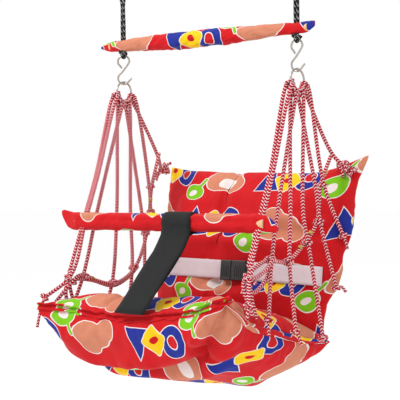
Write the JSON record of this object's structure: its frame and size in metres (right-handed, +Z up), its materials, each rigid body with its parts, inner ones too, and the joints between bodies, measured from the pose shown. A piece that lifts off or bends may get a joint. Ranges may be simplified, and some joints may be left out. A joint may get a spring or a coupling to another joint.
{
  "type": "belt swing seat",
  "caption": "Toddler swing: padded seat and back hung on two rope nets from a spreader bar, with a sliding front bar, crotch strap and waist belt",
  "frame": {"origin": "midway between the bearing points of the two top hang loops, on the line that carries the swing", "axes": "+X to the right of a person looking at the swing's front, +Y from the front bar to the back cushion, +Z up"},
  "size_m": [0.544, 0.4282, 0.8155],
  "materials": {
    "black_rope": "matte",
    "red_rope": "matte",
    "printed_cotton": "matte",
    "wadding": "matte",
    "black_webbing": "matte",
    "white_webbing": "matte",
    "wood": "matte",
    "steel": "satin",
    "brass": "satin",
    "black_plastic": "satin"
  },
  "bodies": {
    "hanger": {"hang_rope_left": "black_rope", "hang_rope_right": "black_rope", "hang_knot_left": "black_rope", "hang_knot_right": "black_rope"},
    "spreader_bar": {"spreader_dowel": "wood", "spreader_sleeve": "printed_cotton"},
    "hook_left": {"s_hook_left": "steel"},
    "hook_right": {"s_hook_right": "steel"},
    "seat": {"ring_left": "steel", "ring_right": "steel", "net_rope_left_1": "red_rope", "net_rope_left_2": "red_rope", "net_rope_left_3": "red_rope", "net_rope_left_4": "red_rope", "net_rope_right_1": "red_rope", "net_rope_right_2": "red_rope", "net_rope_right_3": "red_rope", "net_rope_right_4": "red_rope", "cross_cord_left": "red_rope", "cross_cord_right": "red_rope", "crimp_left_1": "brass", "crimp_left_2": "brass", "crimp_right_1": "brass", "crimp_right_2": "brass", "crimp_right_3": "brass", "crimp_right_4": "brass", "crotch_strap": "black_webbing", "seat_cover": "printed_cotton", "seat_filling": "wadding", "back_cover": "printed_cotton", "back_filling": "wadding", "waist_strap_left": "white_webbing", "waist_strap_right": "white_webbing", "buckle_socket": "black_plastic"},
    "front_bar": {"front_bar_sleeve": "printed_cotton", "front_bar_padding": "wadding", "front_bar_dowel": "wood"},
    "buckle_plug": {"buckle_plug": "black_plastic"},
    "prong_upper": {"buckle_prong_upper": "black_plastic"},
    "prong_lower": {"buckle_prong_lower": "black_plastic"}
  },
  "joints": [
    {"name": "spreader_lift", "type": "slide", "parent": "hanger", "child": "spreader_bar", "axis": [0, 0, 1], "range_m": [0, 0.06]},
    {"name": "hook_left_swing", "type": "hinge", "parent": "hanger", "child": "hook_left", "pos_m": [-0.22, 0, -0.156], "axis": [1, 0, 0], "range_deg": [-30, 30]},
    {"name": "hook_right_swing", "type": "hinge", "parent": "hanger", "child": "hook_right", "pos_m": [0.22, 0, -0.156], "axis": [1, 0, 0], "range_deg": [-30, 30]},
    {"name": "seat_swing", "type": "hinge", "parent": "hook_left", "child": "seat", "pos_m": [-0.22, 0, -0.2155], "axis": [1, 0, 0], "range_deg": [-35, 35]},
    {"name": "front_bar_slide", "type": "slide", "parent": "seat", "child": "front_bar", "axis": [0, 0.3838, 0.9234], "range_m": [-0.05, 0], "deforming": ["crotch_strap"]},
    {"name": "buckle_release", "type": "slide", "parent": "seat", "child": "buckle_plug", "axis": [-1, 0, 0], "range_m": [0, 0.035]},
    {"name": "prong_upper_squeeze", "type": "hinge", "parent": "buckle_plug", "child": "prong_upper", "pos_m": [0.0119, 0.06369, -0.58931], "axis": [0, -0.9906, 0.1365], "range_deg": [-8, 0], "stiffness_Nm_per_rad": 0.2},
    {"name": "prong_lower_squeeze", "type": "hinge", "parent": "buckle_plug", "child": "prong_lower", "pos_m": [0.0119, 0.06028, -0.61408], "axis": [0, -0.9906, 0.1365], "range_deg": [0, 8], "stiffness_Nm_per_rad": 0.2}
  ],
  "couplings": [
    {"joint": "hook_right_swing", "follows": "hook_left_swing", "ratio": 1},
    {"joint": "prong_lower_squeeze", "follows": "prong_upper_squeeze", "ratio": -1}
  ]
}
